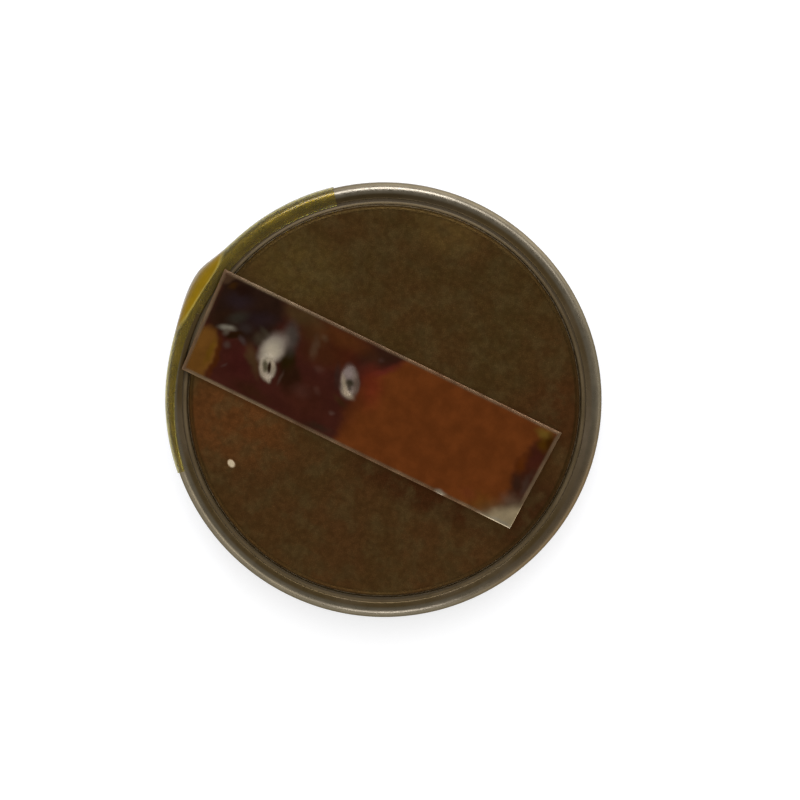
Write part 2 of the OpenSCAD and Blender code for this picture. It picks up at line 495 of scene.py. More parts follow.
@dataclass(frozen=True)
class RolledSteel:
    """Plated steel of the can: satin side, and a smoother roll drawn over the gasket."""

    bright: Colour = (0.35, 0.29, 0.195)
    land: Colour = (0.2, 0.13, 0.05)
    scuffed: Colour = (0.36, 0.27, 0.17)
    nose: Colour = (0.16, 0.112, 0.054)
    side_shade: Colour = (0.13, 0.11, 0.075)
    dim_shade: Colour = (0.2, 0.125, 0.058)
    roughness: float = 0.27
    # Radii over which the land darkens with painted shade, outside it and inside it, and the nose
    # and the side
    land_out: Span = (9.6, 9.46)
    land_in: Span = (9.15, 9.2)
    nose_edge: Span = (9.34, 9.24)
    side_edge: Span = (9.79, 9.9)
    # Heights over which the land's colour sets in, so that the base doesn't take it
    above: Span = (1.2, 1.8)
    # Lit spot at the top, where the painted shade of the side lifts
    lit_spot: Spot = (-0.2, 10, 10, 10)
    # Spot of painted shade on one side of the rim
    dim_shade_spot: Spot = (9.7, -1.6, 7, 7)
    worn_spot: Spot = (8.9, 2.6, 5.5, 4.5)

    def build(self) -> bpy.types.Material:
        """Makes the material.

        Returns:
            Metal with painted shade on the land inside the crest of the rim and on the nose, a side
            darkened by painted shade that lifts under a lit spot at the top, and painted shade at
            one side.
        """
        bench = NodeBench("rolled_steel")
        radius = bench.radius_mm()
        # Painted shade: the land is darker for the dark surroundings that it reflects, and the nose
        # darker still, beside the groove
        dark = bench.maths(Sum.TIMES, bench.ramp(radius, *self.land_out),
                           bench.ramp(radius, *self.land_in))
        dark = bench.maths(Sum.TIMES, dark, bench.ramp(bench.height_mm(), *self.above))
        stain = bench.ramp(bench.noise(0.9, 4), 0.35, 0.7)
        bright_part = bench.mix(bench.maths(Sum.TIMES, stain, 0.4), self.bright,
                          shade(self.bright, 0.62))
        # Painted shade down the side, for the darker surroundings it reflects, lifted under the lit
        # spot at the top
        side = bench.ramp(radius, *self.side_edge, 0, 0.8)
        unlit_share = bench.ramp(bench.spot(*self.lit_spot), 0, 0.75, 1, 0.15)
        bright_part = bench.mix(bench.maths(Sum.TIMES, side, unlit_share), bright_part, self.side_shade)
        # Painted shade over one side of the rim
        dim_shade = bench.ramp(bench.spot(*self.dim_shade_spot), 0, 0.8, 0, 0.6)
        bright_part = bench.mix(dim_shade, bright_part, self.dim_shade)
        worn = bench.ramp(bench.noise(3.5, 2, shift=21), 0.45, 0.7, 0, 0.5)
        worn = bench.maths(Sum.LARGER, worn, bench.spot(*self.worn_spot))
        land = bench.mix(worn, self.land, self.scuffed)
        inner = bench.ramp(radius, *self.nose_edge)
        land = bench.mix(inner, land, self.nose)
        # Painted shade on the land near the top of the picture, where a highlight falls
        shaded = bench.ramp(bench.spot(*RIM_TOP, 6, 6), 0, 0.7, 0, 0.5)
        land = bench.mix(shaded, land, shade(self.nose, 0.3))
        colour = bench.mix(bench.maths(Sum.TIMES, dark, 0.95), bright_part, land)
        rough = bench.ramp(bench.noise(0.3, 4, shift=3), 0.3, 0.75, self.roughness - 0.01,
                           self.roughness + 0.08)
        rough = bench.maths(Sum.PLUS, rough, bench.maths(Sum.TIMES, inner, 0.55))
        grain = bench.noise(0.05, 3, Vector((1, 1, 7)))
        waver = bench.noise(0.8, 2, shift=7)
        height = bench.maths(Sum.PLUS, bench.maths(Sum.TIMES, grain, 0.25), waver)
        return bench.surface(Base_Color=colour, Metallic=1.0, Roughness=rough,
                             Specular_Tint=(0.4, 0.38, 0.34, 1),
                             Normal=bench.bump(height, 0.007, 0.4))


@dataclass(frozen=True)
class GrainedSteel:
    """Lapped steel of the cap: fine matt grain in mottled olive and red brown."""

    olive: Colour = (0.141, 0.08, 0.022)
    rust: Colour = (0.185, 0.076, 0.023)
    moss: Colour = (0.185, 0.12, 0.041)
    neck: Colour = (0.8, 0.66, 0.42)
    speck: Colour = (0.4125, 0.3231, 0.1946)
    roughness: float = 0.42
    # Radii over which the rounded edge turns dark with painted shade, and then pale on the neck
    # with painted light
    edge_in: Span = (8.7, 8.82)
    edge_out: Span = (8.99, 8.93)
    neck_edge: Span = (8.95, 9.0)
    # Places along the picture's upright over which the face turns redder
    reddening: Span = (5.5, -6.0)
    dust: Spot = (-5.05, -5.65, 0.26, 0.19, -STRIP_TURN)
    # The clouds of other tones, two of them painted shadows of the strip: middle, half sizes and
    # turn of each, and its colour
    clouds_and_shadows: tuple[tuple[float, float, float, float, float, Colour], ...] = (
        (-6.0, -3.9, 4.4, 2.6, 10, (0.265, 0.095, 0.025)),
        (7.6, 3.0, 3.8, 2.6, 60, (0.16, 0.062, 0.018)),
        (-6.3, 3.8, 3.2, 2.2, 10, (0.2, 0.12, 0.031)),
        # Painted shadow beside the strip's lifted end
        (8.3, -1.6, 2.6, 1.3, 80, (0.12, 0.046, 0.015)),
        # Painted shadow along the strip's lower edge
        (3.6, -3.1, 5.2, 1.1, 0, (0.115, 0.04, 0.012)),
        (-0.8, 8.2, 2.2, 1.4, 0, (0.22, 0.125, 0.034)))

    def build(self) -> bpy.types.Material:
        """Makes the material.

        Returns:
            Metal with a soft change of tone along the picture's upright, clouds with two painted
            shadows of the strip among them, mottling at three scales, a fine grain, painted shade
            on the rounded edge, painted light on the neck and one pale speck of dust.
        """
        bench = NodeBench("grained_steel")
        turn = math.radians(STRIP_TURN)
        upright = bench.node("ShaderNodeVectorMath", operation="DOT_PRODUCT")
        bench.feed(upright.inputs[0], bench.place)
        bench.feed(upright.inputs[1], (-math.sin(turn) / MM, math.cos(turn) / MM, 0))
        lower = bench.ramp(upright.outputs["Value"], *self.reddening)
        cloud = bench.ramp(bench.noise(2.6, 3), 0.35, 0.65)
        share = bench.maths(Sum.TIMES, bench.maths(Sum.PLUS, lower, cloud), 0.4)
        tone = bench.mix(share, self.olive, self.rust)
        for *place, colour in self.clouds_and_shadows:
            tone = bench.mix(bench.ramp(bench.spot(*place), 0, 0.7), tone, colour)
        mottle = bench.ramp(bench.noise(0.85, 4, shift=11), 0.42, 0.68)
        toned = bench.mix(bench.maths(Sum.TIMES, mottle, 0.5), tone, self.moss)
        dapple = bench.ramp(bench.noise(0.3, 4, shift=17), 0.4, 0.7)
        toned = bench.mix(bench.maths(Sum.TIMES, dapple, 0.3), toned, shade(self.rust, 0.62))
        fleck = bench.ramp(bench.noise(0.11, 2, shift=5), 0.6, 0.78)
        toned = bench.mix(bench.maths(Sum.TIMES, fleck, 0.25), toned, shade(self.rust, 0.45))
        radius = bench.radius_mm()
        # Painted shade on the rounded edge, which hides its highlight, strongest near the top of
        # the picture
        edge = bench.maths(Sum.TIMES, bench.ramp(radius, *self.edge_in),
                           bench.ramp(radius, *self.edge_out))
        deep = bench.ramp(bench.spot(*RIM_TOP, 6, 6), 0, 0.7, 0.7, 0.97)
        toned = bench.mix(bench.maths(Sum.TIMES, edge, deep), toned, shade(self.olive, 0.4))
        # Painted light on the neck, which hides the dark line there
        toned = bench.mix(bench.ramp(radius, *self.neck_edge), toned, self.neck)
        dust = bench.ramp(bench.spot(*self.dust), 0.02, 0.45)
        colour = bench.mix(dust, toned, self.speck)
        metal = bench.maths(Sum.MINUS, 1.0, dust)
        rough = bench.ramp(bench.noise(0.22, 4, shift=2), 0.3, 0.7, self.roughness - 0.07,
                           self.roughness + 0.1)
        grain = bench.maths(Sum.PLUS, bench.noise(0.06, 4),
                            bench.maths(Sum.TIMES, bench.noise(0.5, 3, shift=9), 0.8))
        height = bench.maths(Sum.PLUS, grain, bench.maths(Sum.TIMES, dust, 3.0))
        return bench.surface(Base_Color=colour, Metallic=metal, Roughness=rough,
                             Normal=bench.bump(height, 0.012, 0.6))


@dataclass(frozen=True)
class MilkyPlastic:
    """Moulded plastic of the gasket, which shows as a thin pale ring."""

    pale: Colour = (0.088, 0.06, 0.027)
    dull: Colour = (0.064, 0.042, 0.016)
    # Colour of the painted shade beside the pale line
    beside_line_shade: Colour = (0.04, 0.026, 0.01)
    # Colour of the painted light near the top
    bright: Colour = (0.17, 0.125, 0.066)
    # The pale line of the lip lies round this place, a little off the axis, and these are
    # the radii from there over which it ends on both sides
    centre: tuple[float, float] = (0.031, -0.063)
    line_out: Span = (9.18, 9.24)
    line_in: Span = (9.11, 9.06)

    def build(self) -> bpy.types.Material:
        """Makes the material.

        Returns:
            Waxy plastic, a little duller in patches, painted lighter near the top of the picture,
            where the light falls, and with painted shade on both sides of its pale line.
        """
        bench = NodeBench("milky_plastic")
        patch = bench.ramp(bench.noise(1.4, 3), 0.35, 0.7)
        colour = bench.mix(patch, self.pale, self.dull)
        # Painted light: the ring is lighter near the top of the picture, where the light falls
        bright_part = bench.ramp(bench.spot(*RIM_TOP, 9, 9), 0, 0.8)
        colour = bench.mix(bright_part, colour, self.bright)
        radius = bench.radius_mm(self.centre)
        # Painted shade on both sides of the pale line, beside the nose and the neck
        beside_line = bench.maths(Sum.LARGER, bench.ramp(radius, *self.line_out),
                            bench.ramp(radius, *self.line_in))
        colour = bench.mix(beside_line, colour, self.beside_line_shade)
        return bench.surface(Base_Color=colour, Roughness=0.42, Specular_IOR_Level=0.25,
                             Normal=bench.bump(bench.noise(0.12, 3), 0.01, 0.5))


@dataclass(frozen=True)
class TintedNickel:
    """Smooth nickel strip, coloured by the heat of its welds and with painted reflections and
    highlights.
    """

    roughness: float = 0.2
    # How much rougher the melted metal of a weld is
    melted: float = 0.4

    def build(self) -> bpy.types.Material:
        """Makes the material.

        Returns:
            Metal that takes its heat tint, painted reflections and painted highlights from the
            piece's own colours, rougher where they say that it has melted, with faint rolling lines
            along the strip.
        """
        bench = NodeBench("tinted_nickel")
        cloud = bench.ramp(bench.noise(0.7, 4), 0.3, 0.75, 0.86, 1.12)
        colour, melt = bench.stored_tint(cloud)
        rough = bench.ramp(bench.noise(0.3, 3, shift=4), 0.3, 0.7, self.roughness - 0.03,
                           self.roughness + 0.07)
        rough = bench.maths(Sum.PLUS, rough, bench.maths(Sum.TIMES, melt, self.melted))
        lines = bench.noise(0.04, 2, Vector((30, 1, 1)))
        waves = bench.noise(1.1, 2, Vector((2, 1, 1)), shift=6)
        height = bench.maths(Sum.PLUS, bench.maths(Sum.TIMES, lines, 0.4), waves)
        return bench.surface(Base_Color=colour, Metallic=1.0, Roughness=rough,
                             Normal=bench.bump(height, 0.0015, 0.45))


@dataclass(frozen=True)
class AmberFilm:
    """Thin yellow insulating film that light passes through."""

    roughness: float = 0.24
    # Share of light let through, and strength of the gloss, where it lies flat and in the fold
    clear: Span = (0.98, 0.3)
    gloss: Span = (1.0, 0.05)

    def build(self) -> bpy.types.Material:
        """Makes the material.

        Returns:
            Thin film that lets most of the light through, in the piece's own colours.
        """
        bench = NodeBench("amber_film")
        colour, dense = bench.stored_tint(bench.ramp(bench.noise(0.8, 3), 0.35, 0.7, 0.88, 1.04))
        film = bench.node("ShaderNodeBsdfPrincipled")
        bench.set(film, Base_Color=colour, Roughness=self.roughness, IOR=1.42,
                  Transmission_Weight=bench.ramp(dense, 0, 1, *self.clear),
                  Specular_IOR_Level=bench.ramp(dense, 0, 1, *self.gloss),
                  Normal=bench.bump(bench.noise(0.7, 2, shift=2), 0.004, 0.4))
        # Lamps light the metal behind the film straight through, and each of its two faces
        # takes the root of the colour
        root = bench.node("ShaderNodeGamma")
        bench.set(root, Color=colour, Gamma=0.5)
        passing = bench.node("ShaderNodeBsdfTransparent")
        bench.set(passing, Color=root.outputs[0])
        shadow = bench.node("ShaderNodeLightPath").outputs["Is Shadow Ray"]
        return bench.blend_shaders(shadow, film, passing)


@dataclass(frozen=True)
class PlainFinish:
    """Mottled finish of a piece that is sealed inside the cell."""

    name: str
    light: Colour
    dark: Colour
    metallic: float = 0.0
    roughness: float = 0.7
    grain_mm: float = 0.15

    def build(self) -> bpy.types.Material:
        """Makes the material.

        Returns:
            Two tones in lumps of grain_mm, with a bump to match.
        """
        bench = NodeBench(self.name)
        lumps = bench.noise(self.grain_mm, 4)
        colour = bench.mix(bench.ramp(lumps, 0.3, 0.7), self.light, self.dark)
        return bench.surface(Base_Color=colour, Metallic=self.metallic,
                             Roughness=self.roughness,
                             Normal=bench.bump(lumps, 0.02, 0.6))


@dataclass(frozen=True)
class PaleGround:
    """White floor that keeps the soft shadow of the cell."""

    white: float = 0.5
    glow: float = 0.62

    def build(self) -> bpy.types.Material:
        """Makes the material.

        Returns:
            White paper, part of whose white is seen by the camera and in reflections only.
            From below it is clear, so that the base of the cell can be seen.
        """
        bench = NodeBench("pale_ground")
        path = bench.node("ShaderNodeLightPath")
        seen = bench.maths(Sum.LARGER, path.outputs["Is Camera Ray"],
                           path.outputs["Is Glossy Ray"])
        seen = bench.maths(Sum.LARGER, seen, path.outputs["Is Transmission Ray"])
        paper = bench.node("ShaderNodeBsdfDiffuse")
        bench.set(paper, Color=(self.white, self.white, self.white))
        light = bench.node("ShaderNodeEmission")
        bench.set(light, Strength=bench.maths(Sum.TIMES, seen, self.glow))
        both = bench.node("ShaderNodeAddShader")
        bench.link(paper.outputs[0], both.inputs[0])
        bench.link(light.outputs[0], both.inputs[1])
        below = bench.node("ShaderNodeNewGeometry").outputs["Backfacing"]
        return bench.blend_shaders(below, both, bench.node("ShaderNodeBsdfTransparent"))


@dataclass
class CellShells:
    """The three pieces that close the cell: can, gasket and cap, as surfaces of revolution."""

    radius: float
    height: float
    can_t: float = 0.25
    corner_r: float = 0.6
    roll_r: float = 0.45
    land: float = 0.14
    droop: float = 10
    rim_drop: float = 0.15
    wall_t: float = 0.3
    inner_t: float = 0.25
    inner_h: float = 0.5
    foot_t: float = 0.3
    over_t: float = 0.2
    lip_t: float = 0.2
    lip_drop: float = 0.03
    cap_t: float = 0.2
    edge_r: float = 0.3
    step_r: float = 0.1
    shoulder_r: float = 0.24
    seat: float = 0.01
    segments: int = 640
    # The small nick in the land: its angle round the rim, its radius, width and depth
    nick: tuple[float, float, float, float] = (256.4, 9.38, 0.13, 0.035)
    wave_depth: float = 0.003
    # Where the top of the gasket's lip meets the nose, in degrees round each
    lip_start: float = 60
    nose_end: float = 130

    def __post_init__(self) -> None:
        """Works out the centres of the rounded corners from the sizes."""
        crest = self.height - self.rim_drop
        self.end = 90 + self.droop
        self.roll_c = np.array([self.radius - self.roll_r, crest - self.roll_r])
        out = np.array([math.cos(math.radians(self.end)), math.sin(math.radians(self.end))])
        along = np.array([-out[1], out[0]])
        self.nose_c = self.roll_c + (self.roll_r - self.can_t / 2) * out + self.land * along
        self.lip_r = self.nose_c[0] - self.can_t / 2
        self.corner_c = (self.radius - self.corner_r, self.corner_r)
        self.neck_r = self.lip_r - self.lip_t - 2 * self.seat
        self.skirt_r = self.radius - self.can_t - self.wall_t - 2 * self.seat
        self.step_z = self.nose_c[1] - self.can_t / 2 - self.over_t - 2 * self.seat
        self.foot_z = self.can_t + self.foot_t
        self.step_c = (self.neck_r + self.step_r, self.step_z + self.step_r)
        self.shoulder_c = (self.skirt_r - self.shoulder_r, self.step_z - self.shoulder_r)
        self.edge_c = (self.neck_r - self.edge_r, self.height - self.edge_r)
        self.lip_z = crest - self.lip_drop

    def can_outline(self) -> np.ndarray:
        """Section of the can: floor, corner, side, roll, land, nose, and back inside.

        Returns:
            Points (r, z) of the section.
        """
        return np.vstack([
            [[0, 0]],
            arc(self.corner_c, self.corner_r, -90, 0),
            arc(self.roll_c, self.roll_r, 0, self.end, 26),
            arc(self.nose_c, self.can_t / 2, self.end, self.end + 180),
            arc(self.roll_c, self.roll_r - self.can_t, self.end, 0, 8),
            arc(self.corner_c, self.corner_r - self.can_t, 0, -90, 6),
            [[0, self.can_t]]])

    def gasket_outline(self) -> np.ndarray:
        """Section of the gasket: channel under the skirt, wall, and lip beside the neck.

        The lip fills the groove between the neck and the can's nose.

        Returns:
            Points (r, z) of the section.
        """
        inner = self.skirt_r - self.cap_t - self.seat
        inside = inner - self.inner_t
        lip_top = arc((self.neck_r + self.seat + self.lip_t / 2, self.lip_z - self.lip_t / 2),
                      self.lip_t / 2, self.lip_start, 180, 12)
        return np.vstack([
            [[inside, self.can_t], [self.corner_c[0], self.can_t]],
            arc(self.corner_c, self.corner_r - self.can_t - self.seat, -90, 0, 8),
            arc(self.roll_c, self.roll_r - self.can_t - self.seat, 0, self.end, 8),
            arc(self.nose_c, self.can_t / 2 + self.seat, self.end + 180, self.nose_end, 12),
            lip_top,
            arc(self.step_c, self.step_r - self.seat, 180, 270, 6),
            arc(self.shoulder_c, self.shoulder_r + self.seat, 90, 0, 8),
            [[self.skirt_r + self.seat, self.foot_z], [inner, self.foot_z],
             [inner, self.foot_z + self.inner_h], [inside, self.foot_z + self.inner_h]]])

    def cap_outline(self) -> np.ndarray:
        """Section of the cap: face, edge, neck, step, shoulder, skirt, and back inside.

        Returns:
            Points (r, z) of the section.
        """
        face = np.stack([np.linspace(0, self.edge_c[0], 20)[:-1],
                         np.full(19, self.height)], axis=1)
        return np.vstack([
            face,
            arc(self.edge_c, self.edge_r, 90, 0),
            arc(self.step_c, self.step_r, 180, 270, 8),
            arc(self.shoulder_c, self.shoulder_r, 90, 0),
            [[self.skirt_r, self.foot_z], [self.skirt_r - self.cap_t, self.foot_z]],
            arc(self.shoulder_c, self.shoulder_r - self.cap_t, 0, 90, 4),
            arc(self.step_c, self.step_r + self.cap_t, 270, 180, 8),
            arc(self.edge_c, self.edge_r - self.cap_t, 0, 90, 6),
            [[0, self.height - self.cap_t]]])

    def press_nick(self, points: np.ndarray) -> np.ndarray:
        """Lowers the land by depth exp(-(d / width)^2), d being the distance from the nick.

        Args:
            points: Points of the can.

        Returns:
            The points with the nick pressed in.
        """
        angle, radius, width, depth = self.nick
        x = radius * math.cos(math.radians(angle))
        y = radius * math.sin(math.radians(angle))
        apart = np.hypot(points[:, 0] - x, points[:, 1] - y) / width
        upper = points[:, 2] > self.nose_c[1]
        lowered = points.copy()
        lowered[:, 2] -= np.where(upper, depth * np.exp(-apart ** 2), 0)
        return lowered

    def waver_face(self, points: np.ndarray) -> np.ndarray:
        """Lowers the face by up to four wave depths, as a sum of slow waves across it.

        Args:
            points: Points of the cap.

        Returns:
            The points with the face uneven.
        """
        x, y = points[:, 0], points[:, 1]
        waves = np.sin(0.62 * x + 0.4) * np.cos(0.5 * y - 0.8) + np.sin(0.37 * x - 0.71 * y)
        flat = (points[:, 2] > self.height - 1e-6) & (np.hypot(x, y) < self.edge_c[0])
        fade = 1 - (np.hypot(x, y) / self.edge_c[0]) ** 4
        lowered = points.copy()
        lowered[:, 2] -= np.where(flat, self.wave_depth * (waves + 2) * fade, 0)
        return lowered

    def build(self) -> None:
        """Makes the three shells, and puts each in place of its node."""
        points, faces = revolve(self.can_outline(), self.segments)
        can = put_mesh("can_shell", self.press_nick(points), faces)
        points, faces = revolve(self.gasket_outline(), self.segments // 2)
        gasket = put_mesh("gasket_ring", points, faces)
        points, faces = revolve(self.cap_outline(), self.segments)
        cap = put_mesh("cap_shell", self.waver_face(points), faces)
        add_piece(can, "positive_can", RolledSteel().build())
        add_piece(gasket, "gasket", MilkyPlastic().build())
        add_piece(cap, "negative_cap", GrainedSteel().build())


@dataclass(frozen=True)
class Patch:
    """One soft-edged oval of colour on the strip."""

    x: float
    y: float
    long: float
    wide: float
    colour: Colour
    turn: float = 0
    soft: float = 0.35
    share: float = 1
    square: float = 2
    melted: float = 0

    def cover(self, x: np.ndarray, y: np.ndarray) -> np.ndarray:
        """How much of the patch's colour lies on each place.

        The measure is q = (|u / long|^n + |v / wide|^n)^(1/n), with u and v along and across
        the turned patch and n its squareness. The cover falls smoothly from 1 to 0 as q goes
        from 1 - soft to 1 + soft.

        Args:
            x: Places along the strip.
            y: Places across the strip.

        Returns:
            The cover from 0 to share.
        """
        u, v = turned(x, y, (self.x, self.y), self.turn)
        n = self.square
        q = (np.abs(u / self.long) ** n + np.abs(v / self.wide) ** n) ** (1 / n)
        return self.share * (1 - smooth_step(1 - self.soft, 1 + self.soft, q))


@dataclass(frozen=True)
class Crater:
    """The mark of one welding electrode: an oval hollow inside a raised ring."""

    x: float
    y: float
    long: float
    wide: float
    turn: float
    depth: float
    ring: float

    def height(self, x: np.ndarray, y: np.ndarray) -> np.ndarray:
        """Height ring exp(-((q - 1) / 0.3)^2) - depth exp(-(q / 0.6)^2), with q from oval."""
        q = self.oval(x, y)
        return self.ring * np.exp(-((q - 1) / 0.3) ** 2) - self.depth * np.exp(-(q / 0.6) ** 2)

    def oval(self, x: np.ndarray, y: np.ndarray) -> np.ndarray:
        """Distance q from the middle, as a share of the oval's half sizes."""
        u, v = turned(x, y, (self.x, self.y), self.turn)
        return np.hypot(u / self.long, v / self.wide)


# Tints of the nickel, from bare metal to what the heat of the welds left, also painted as
# reflections and highlights
BRONZE = (0.41, 0.107, 0.0225)
PLUM = (0.155, 0.038, 0.024)
BRIGHT_PLUM = (0.155, 0.03, 0.023)
RUST = (0.2, 0.044, 0.016)
FAINT = (0.22, 0.082, 0.054)
SLATE = (0.069, 0.03, 0.018)
STEEL_BLUE = (0.068, 0.038, 0.043)
HAZE = (0.16, 0.13, 0.1)
UMBER = (0.06, 0.023, 0.007)
AMBER = (0.44, 0.18, 0.033)
SILVER = (0.78, 0.66, 0.465)
PEWTER = (0.42, 0.33, 0.25)
TAN = (0.32, 0.22, 0.12)
BROWN = (0.21, 0.12, 0.06)
# The last weld stands across the strip at this angle
WELD_TURN = -70


@dataclass
class ConnectionStrip:
    """Nickel strip on the cap, with its weld marks, heat tint, painted reflections and highlights,
    and lifted free end.
    """

    top: float
    start: float = -9.1
    length: float = 16.95
    width: float = 5.0
    thickness: float = 0.15
    middle: float = -0.24
    snip: float = 2.5
    lift: float = 2.6
    lift_angle: float = 6
    bend_r: float = 6
    # Width of the rounded edge, and half the height of the cut that is left below it
    edge: float = 0.16
    side: float = 0.02
    columns: int = 360
    rows: int = 108
    craters: tuple[Crater, ...] = (
        Crater(-7.5, -0.3, 0.4, 0.3, 40, 0.05, 0.012),
        Crater(-5.41, -1.0, 0.52, 0.36, -60, 0.07, 0.03),
        Crater(-1.78, 0.06, 0.62, 0.36, WELD_TURN, 0.07, 0.03))
    # The smeared blob beside the middle weld, which stands a little proud
    smear: Patch = Patch(-5.72, 0, 0.8, 0.6, SILVER, -80, 0.9)
    smear_height: float = 0.035
    # Inset from the edge within which the marks rise to their full height
    marks_inset: float = 0.4
    # How far the edges of the patches wander: heat tint with painted reflections, then scuffs and
    # gleams, then weld marks with painted highlights
    heat_reach: float = 0.1
    scuff_reach: float = 0.08
    melt_reach: float = 0.035
    # Share of the cut edge's colour, a painted highlight where the rounded edge catches light
    edge_share: float = 0.9
    # Heat tint, partly painted reflections of the surroundings in the smooth nickel
    heat_and_reflections: tuple[Patch, ...] = (
        # The plum stretch round the welds and its slanted end
        Patch(-5.2, -0.24, 3.93, 4.5, PLUM, soft=0.06, square=6),
        Patch(-1.76, 2.25, 1.9, 1.5, PLUM, turn=50.6, soft=0.12, square=4),
        # Redder, browner and darker places near that end
        Patch(-0.62, 1.2, 0.85, 0.16, (0.33, 0.05, 0.038), turn=50, soft=0.9, share=0.7),
        Patch(-1.15, 1.75, 1.0, 0.42, (0.1, 0.042, 0.022), turn=25, soft=0.6, share=0.8),
        Patch(-0.85, 0.3, 0.5, 0.8, (0.45, 0.068, 0.026), turn=10, soft=0.9, share=0.8),
        Patch(-1.2, -1.0, 0.35, 1.0, (0.25, 0.062, 0.02), soft=0.9, share=0.7),
        Patch(-2.7, 1.15, 0.8, 0.75, RUST, turn=20, soft=0.7, share=0.9),
        Patch(-3.6, 0.75, 0.9, 0.6, (0.17, 0.05, 0.017), soft=0.7, share=0.8),
        Patch(-2.95, 1.8, 1.3, 0.42, (0.25, 0.075, 0.02), turn=-3, soft=0.7, share=0.9),
        Patch(-5.05, 1.85, 1.0, 0.4, (0.21, 0.115, 0.04), turn=-3, soft=0.7, share=0.9),
        Patch(-4.3, 1.35, 0.6, 0.4, (0.2, 0.08, 0.025), soft=0.8, share=0.8),
        # Slate and blue round the first weld
        Patch(-7.45, 1.0, 1.65, 1.35, SLATE, soft=0.2, square=3),
        Patch(-8.4, 0.1, 0.45, 0.5, (0.08, 0.033, 0.016), soft=0.4, share=0.8),
        Patch(-7.95, 1.25, 0.6, 0.35, STEEL_BLUE, turn=15, soft=0.8, share=0.8),
        Patch(-6.75, 0.85, 0.75, 0.3, STEEL_BLUE, turn=25, soft=0.8, share=0.7),
        Patch(-8.05, 1.8, 0.4, 0.2, (0.055, 0.02, 0.012), soft=0.8, share=0.8),
        # The amber corner
        Patch(-8.5, -1.6, 0.58, 1.2, AMBER, turn=7, soft=0.2, square=3),
        Patch(-8.2, -1.5, 0.12, 0.5, (0.4, 0.2, 0.012), turn=4, soft=0.8, share=0.6),
        Patch(-7.83, -1.6, 0.12, 0.95, (0.22, 0.055, 0.008), turn=8, soft=0.8, share=0.8),
        # Round and below the middle weld
        Patch(-6.7, -1.3, 0.6, 0.75, BRIGHT_PLUM, turn=20, soft=0.9, share=0.8),
        Patch(-6.2, -0.95, 0.75, 0.2, (0.22, 0.12, 0.045), turn=-50, soft=0.7, share=0.75),
        # Painted shadow beside the middle weld
        Patch(-4.45, -0.75, 0.95, 0.5, (0.075, 0.027, 0.011), turn=-55, soft=0.5),
        Patch(-4.85, -0.2, 0.36, 0.4, (0.055, 0.03, 0.006), soft=0.6),
        Patch(-5.7, -2.25, 0.8, 0.25, (0.1, 0.036, 0.013), soft=0.9, share=0.7),
        Patch(-2.2, -2.4, 0.5, 0.16, (0.09, 0.055, 0.03), soft=0.9, share=0.7),
        Patch(-3.2, -1.6, 1.0, 0.8, (0.155, 0.04, 0.02), soft=0.9, share=0.8),
        # Paler places in the bronze stretch
        Patch(6.2, -2.3, 0.8, 0.4, (0.42, 0.16, 0.024), turn=10, soft=0.9, share=0.7),
        Patch(5.35, -2.2, 0.35, 0.25, (0.5, 0.11, 0.036), soft=0.9, share=0.5),
        # The lifted end, with painted reflections where it tilts
        Patch(8.9, 0.1, 2.15, 2.3, (0.165, 0.042, 0.018), soft=0.1),
        Patch(6.95, 0.1, 0.2, 0.5, (0.33, 0.078, 0.008), soft=0.8, share=0.7),
        Patch(7.4, 0.7, 0.25, 0.45, (0.185, 0.043, 0.024), turn=-15, soft=0.8, share=0.8),
        Patch(7.3, 1.82, 0.34, 0.22, (0.46, 0.28, 0.042), turn=-10, soft=0.8, share=0.8),
        Patch(7.5, 1.4, 0.3, 0.25, (0.24, 0.095, 0.005), turn=40, soft=0.8, share=0.8),
        Patch(7.7, 1.6, 0.16, 0.3, (0.11, 0.035, 0.003), turn=30, soft=0.8, share=0.9),
        Patch(7.15, -0.75, 0.3, 0.45, (0.105, 0.043, 0.023), soft=0.8, share=0.9),
        Patch(7.55, -0.6, 0.16, 0.6, (0.16, 0.095, 0.065), soft=0.8, share=0.7),
        Patch(7.25, -1.65, 0.45, 0.3, (0.27, 0.19, 0.13), turn=-40, soft=0.9, share=0.7))
    scuffs: tuple[Patch, ...] = (
        Patch(-8.84, 1.87, 0.32, 0.2, (0.24, 0.125, 0.062), turn=45, soft=0.4, share=0.85),
        Patch(-8.5, 1.72, 0.24, 0.1, (0.17, 0.065, 0.012), turn=50, soft=0.8, share=0.7),
        Patch(-3.95, 0.85, 0.46, 0.17, (0.24, 0.12, 0.062), turn=-75, soft=0.8, share=0.9),
        Patch(-3.72, 1.45, 0.17, 0.12, (0.26, 0.13, 0.062), soft=0.9, share=0.8),
        Patch(-3.28, 0.0, 0.19, 0.16, FAINT, soft=0.9, share=0.8),
        Patch(-2.98, -0.94, 0.17, 0.14, FAINT, soft=0.9, share=0.8),
        Patch(-3.66, -1.25, 0.36, 0.28, FAINT, soft=0.9, share=0.5),
        Patch(-1.94, -1.56, 0.12, 0.09, (0.25, 0.115, 0.085), soft=0.9),
        Patch(-7.37, -1.67, 0.06, 0.12, (0.2, 0.09, 0.07), turn=-30, soft=0.9, share=0.9),
        Patch(-0.95, 1.7, 0.12, 0.1, (0.17, 0.08, 0.058), soft=0.9, share=0.7))
